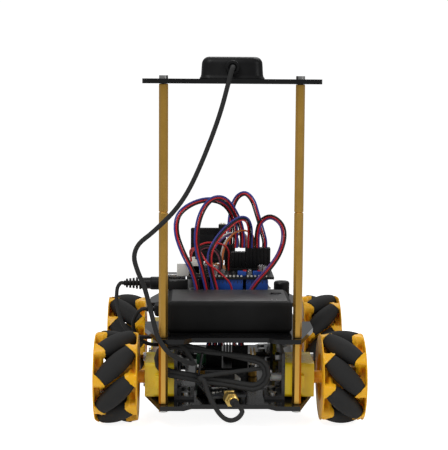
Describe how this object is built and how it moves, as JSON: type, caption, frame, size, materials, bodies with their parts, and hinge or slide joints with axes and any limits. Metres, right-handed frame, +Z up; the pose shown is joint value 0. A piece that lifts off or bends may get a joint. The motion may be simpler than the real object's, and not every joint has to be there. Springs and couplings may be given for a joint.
{
  "type": "mecanum wheel robot",
  "caption": "Small two-deck rolling robot on mecanum wheels with gearmotors, a rear mast carrying a satellite antenna, a power bank, stacked control boards and jumper wiring.",
  "frame": {"origin": "on the ground, midway between the four wheel centres", "axes": "+X to the robot's right, +Y forward, +Z up"},
  "size_m": [0.175, 0.2255, 0.239],
  "materials": {
    "acrylic": "clear-coated black",
    "brass": "satin",
    "steel_screws": "plated",
    "gearbox_plastic": "moulded",
    "motor_steel": "rolled",
    "bracket_metal": "sheet",
    "bank_shell": "matte",
    "button_plastic": "moulded",
    "antenna_shell": "moulded",
    "cable_jacket": "soft jacket",
    "gold_plating": "gold plated",
    "circuit_board": "solder mask",
    "connector_plastic": "moulded",
    "wire_insulation": "extruded",
    "servo_case": "moulded",
    "head_plastic": "moulded",
    "hub_plastic": "moulded",
    "shaft_nylon": "moulded",
    "roller_rubber": "soft sheen"
  },
  "bodies": {
    "chassis": {"lower_plate": "acrylic", "upper_plate": "acrylic", "mast_plate": "acrylic", "brass_standoffs": "brass", "plate_screws": "steel_screws", "gearbox_cases": "gearbox_plastic", "motor_cans": "motor_steel", "motor_brackets": "bracket_metal", "power_bank": "bank_shell", "gnss_antenna": "antenna_shell", "antenna_cable": "cable_jacket", "antenna_hank": "cable_jacket", "antenna_plug": "gold_plating", "circuit_boards": "circuit_board", "board_connectors": "connector_plastic", "jumper_wires": "wire_insulation", "power_leads": "cable_jacket", "pan_servo": "servo_case"},
    "head": {"sensor_head": "head_plastic"},
    "button": {"power_button": "button_plastic"},
    "wheel_fl": {"hub_fl": "hub_plastic", "axle_fl": "shaft_nylon"},
    "roller_fl_1": {"roller_fl_1": "roller_rubber"},
    "roller_fl_2": {"roller_fl_2": "roller_rubber"},
    "roller_fl_3": {"roller_fl_3": "roller_rubber"},
    "roller_fl_4": {"roller_fl_4": "roller_rubber"},
    "roller_fl_5": {"roller_fl_5": "roller_rubber"},
    "roller_fl_6": {"roller_fl_6": "roller_rubber"},
    "roller_fl_7": {"roller_fl_7": "roller_rubber"},
    "roller_fl_8": {"roller_fl_8": "roller_rubber"},
    "wheel_fr": {"hub_fr": "hub_plastic", "axle_fr": "shaft_nylon"},
    "roller_fr_1": {"roller_fr_1": "roller_rubber"},
    "roller_fr_2": {"roller_fr_2": "roller_rubber"},
    "roller_fr_3": {"roller_fr_3": "roller_rubber"},
    "roller_fr_4": {"roller_fr_4": "roller_rubber"},
    "roller_fr_5": {"roller_fr_5": "roller_rubber"},
    "roller_fr_6": {"roller_fr_6": "roller_rubber"},
    "roller_fr_7": {"roller_fr_7": "roller_rubber"},
    "roller_fr_8": {"roller_fr_8": "roller_rubber"},
    "wheel_rl": {"hub_rl": "hub_plastic", "axle_rl": "shaft_nylon"},
    "roller_rl_1": {"roller_rl_1": "roller_rubber"},
    "roller_rl_2": {"roller_rl_2": "roller_rubber"},
    "roller_rl_3": {"roller_rl_3": "roller_rubber"},
    "roller_rl_4": {"roller_rl_4": "roller_rubber"},
    "roller_rl_5": {"roller_rl_5": "roller_rubber"},
    "roller_rl_6": {"roller_rl_6": "roller_rubber"},
    "roller_rl_7": {"roller_rl_7": "roller_rubber"},
    "roller_rl_8": {"roller_rl_8": "roller_rubber"},
    "wheel_rr": {"hub_rr": "hub_plastic", "axle_rr": "shaft_nylon"},
    "roller_rr_1": {"roller_rr_1": "roller_rubber"},
    "roller_rr_2": {"roller_rr_2": "roller_rubber"},
    "roller_rr_3": {"roller_rr_3": "roller_rubber"},
    "roller_rr_4": {"roller_rr_4": "roller_rubber"},
    "roller_rr_5": {"roller_rr_5": "roller_rubber"},
    "roller_rr_6": {"roller_rr_6": "roller_rubber"},
    "roller_rr_7": {"roller_rr_7": "roller_rubber"},
    "roller_rr_8": {"roller_rr_8": "roller_rubber"}
  },
  "joints": [
    {"name": "head_pan", "type": "hinge", "parent": "chassis", "child": "head", "pos_m": [-0.012, 0.07, 0.085], "axis": [0, 0, 1], "range_deg": [-80, 80]},
    {"name": "power_button_press", "type": "slide", "parent": "chassis", "child": "button", "axis": [0, 0, -1], "range_m": [0, 0.0008], "stiffness_N_per_m": 400},
    {"name": "wheel_fl_spin", "type": "hinge", "parent": "chassis", "child": "wheel_fl", "pos_m": [-0.073, 0.07, 0.03], "axis": [1, 0, 0], "continuous": true},
    {"name": "roller_fl_1_spin", "type": "hinge", "parent": "wheel_fl", "child": "roller_fl_1", "pos_m": [-0.073, 0.04673, 0.03327], "axis": [-0.7071, 0.0984, 0.7002], "continuous": true},
    {"name": "roller_fl_2_spin", "type": "hinge", "parent": "wheel_fl", "child": "roller_fl_2", "pos_m": [-0.073, 0.05586, 0.04877], "axis": [-0.7071, 0.5647, 0.4255], "continuous": true},
    {"name": "roller_fl_3_spin", "type": "hinge", "parent": "wheel_fl", "child": "roller_fl_3", "pos_m": [-0.073, 0.07327, 0.05327], "axis": [-0.7071, 0.7002, -0.0984], "continuous": true},
    {"name": "roller_fl_4_spin", "type": "hinge", "parent": "wheel_fl", "child": "roller_fl_4", "pos_m": [-0.073, 0.08877, 0.04414], "axis": [-0.7071, 0.4255, -0.5647], "continuous": true},
    {"name": "roller_fl_5_spin", "type": "hinge", "parent": "wheel_fl", "child": "roller_fl_5", "pos_m": [-0.073, 0.09327, 0.02673], "axis": [-0.7071, -0.0984, -0.7002], "continuous": true},
    {"name": "roller_fl_6_spin", "type": "hinge", "parent": "wheel_fl", "child": "roller_fl_6", "pos_m": [-0.073, 0.08414, 0.01123], "axis": [-0.7071, -0.5647, -0.4255], "continuous": true},
    {"name": "roller_fl_7_spin", "type": "hinge", "parent": "wheel_fl", "child": "roller_fl_7", "pos_m": [-0.073, 0.06673, 0.00673], "axis": [-0.7071, -0.7002, 0.0984], "continuous": true},
    {"name": "roller_fl_8_spin", "type": "hinge", "parent": "wheel_fl", "child": "roller_fl_8", "pos_m": [-0.073, 0.05123, 0.01586], "axis": [-0.7071, -0.4255, 0.5647], "continuous": true},
    {"name": "wheel_fr_spin", "type": "hinge", "parent": "chassis", "child": "wheel_fr", "pos_m": [0.073, 0.07, 0.03], "axis": [1, 0, 0], "continuous": true},
    {"name": "roller_fr_1_spin", "type": "hinge", "parent": "wheel_fr", "child": "roller_fr_1", "pos_m": [0.073, 0.05148, 0.04447], "axis": [0.7071, 0.4353, 0.5572], "continuous": true},
    {"name": "roller_fr_2_spin", "type": "hinge", "parent": "wheel_fr", "child": "roller_fr_2", "pos_m": [0.073, 0.06714, 0.05332], "axis": [0.7071, 0.7018, 0.0862], "continuous": true},
    {"name": "roller_fr_3_spin", "type": "hinge", "parent": "wheel_fr", "child": "roller_fr_3", "pos_m": [0.073, 0.08447, 0.04852], "axis": [0.7071, 0.5572, -0.4353], "continuous": true},
    {"name": "roller_fr_4_spin", "type": "hinge", "parent": "wheel_fr", "child": "roller_fr_4", "pos_m": [0.073, 0.09332, 0.03286], "axis": [0.7071, 0.0862, -0.7018], "continuous": true},
    {"name": "roller_fr_5_spin", "type": "hinge", "parent": "wheel_fr", "child": "roller_fr_5", "pos_m": [0.073, 0.08852, 0.01553], "axis": [0.7071, -0.4353, -0.5572], "continuous": true},
    {"name": "roller_fr_6_spin", "type": "hinge", "parent": "wheel_fr", "child": "roller_fr_6", "pos_m": [0.073, 0.07286, 0.00668], "axis": [0.7071, -0.7018, -0.0862], "continuous": true},
    {"name": "roller_fr_7_spin", "type": "hinge", "parent": "wheel_fr", "child": "roller_fr_7", "pos_m": [0.073, 0.05553, 0.01148], "axis": [0.7071, -0.5572, 0.4353], "continuous": true},
    {"name": "roller_fr_8_spin", "type": "hinge", "parent": "wheel_fr", "child": "roller_fr_8", "pos_m": [0.073, 0.04668, 0.02714], "axis": [0.7071, -0.0862, 0.7018], "continuous": true},
    {"name": "wheel_rl_spin", "type": "hinge", "parent": "chassis", "child": "wheel_rl", "pos_m": [-0.073, -0.07, 0.03], "axis": [1, 0, 0], "continuous": true},
    {"name": "roller_rl_1_spin", "type": "hinge", "parent": "wheel_rl", "child": "roller_rl_1", "pos_m": [-0.073, -0.09035, 0.04175], "axis": [0.7071, 0.3536, 0.6124], "continuous": true},
    {"name": "roller_rl_2_spin", "type": "hinge", "parent": "wheel_rl", "child": "roller_rl_2", "pos_m": [-0.073, -0.07608, 0.0527], "axis": [0.7071, 0.683, 0.183], "continuous": true},
    {"name": "roller_rl_3_spin", "type": "hinge", "parent": "wheel_rl", "child": "roller_rl_3", "pos_m": [-0.073, -0.05825, 0.05035], "axis": [0.7071, 0.6124, -0.3536], "continuous": true},
    {"name": "roller_rl_4_spin", "type": "hinge", "parent": "wheel_rl", "child": "roller_rl_4", "pos_m": [-0.073, -0.0473, 0.03608], "axis": [0.7071, 0.183, -0.683], "continuous": true},
    {"name": "roller_rl_5_spin", "type": "hinge", "parent": "wheel_rl", "child": "roller_rl_5", "pos_m": [-0.073, -0.04965, 0.01825], "axis": [0.7071, -0.3536, -0.6124], "continuous": true},
    {"name": "roller_rl_6_spin", "type": "hinge", "parent": "wheel_rl", "child": "roller_rl_6", "pos_m": [-0.073, -0.06392, 0.0073], "axis": [0.7071, -0.683, -0.183], "continuous": true},
    {"name": "roller_rl_7_spin", "type": "hinge", "parent": "wheel_rl", "child": "roller_rl_7", "pos_m": [-0.073, -0.08175, 0.00965], "axis": [0.7071, -0.6124, 0.3536], "continuous": true},
    {"name": "roller_rl_8_spin", "type": "hinge", "parent": "wheel_rl", "child": "roller_rl_8", "pos_m": [-0.073, -0.0927, 0.02392], "axis": [0.7071, -0.183, 0.683], "continuous": true},
    {"name": "wheel_rr_spin", "type": "hinge", "parent": "chassis", "child": "wheel_rr", "pos_m": [0.073, -0.07, 0.03], "axis": [1, 0, 0], "continuous": true},
    {"name": "roller_rr_1_spin", "type": "hinge", "parent": "wheel_rr", "child": "roller_rr_1", "pos_m": [0.073, -0.0927, 0.03608], "axis": [-0.7071, 0.183, 0.683], "continuous": true},
    {"name": "roller_rr_2_spin", "type": "hinge", "parent": "wheel_rr", "child": "roller_rr_2", "pos_m": [0.073, -0.08175, 0.05035], "axis": [-0.7071, 0.6124, 0.3536], "continuous": true},
    {"name": "roller_rr_3_spin", "type": "hinge", "parent": "wheel_rr", "child": "roller_rr_3", "pos_m": [0.073, -0.06392, 0.0527], "axis": [-0.7071, 0.683, -0.183], "continuous": true},
    {"name": "roller_rr_4_spin", "type": "hinge", "parent": "wheel_rr", "child": "roller_rr_4", "pos_m": [0.073, -0.04965, 0.04175], "axis": [-0.7071, 0.3536, -0.6124], "continuous": true},
    {"name": "roller_rr_5_spin", "type": "hinge", "parent": "wheel_rr", "child": "roller_rr_5", "pos_m": [0.073, -0.0473, 0.02392], "axis": [-0.7071, -0.183, -0.683], "continuous": true},
    {"name": "roller_rr_6_spin", "type": "hinge", "parent": "wheel_rr", "child": "roller_rr_6", "pos_m": [0.073, -0.05825, 0.00965], "axis": [-0.7071, -0.6124, -0.3536], "continuous": true},
    {"name": "roller_rr_7_spin", "type": "hinge", "parent": "wheel_rr", "child": "roller_rr_7", "pos_m": [0.073, -0.07608, 0.0073], "axis": [-0.7071, -0.683, 0.183], "continuous": true},
    {"name": "roller_rr_8_spin", "type": "hinge", "parent": "wheel_rr", "child": "roller_rr_8", "pos_m": [0.073, -0.09035, 0.01825], "axis": [-0.7071, -0.3536, 0.6124], "continuous": true}
  ]
}
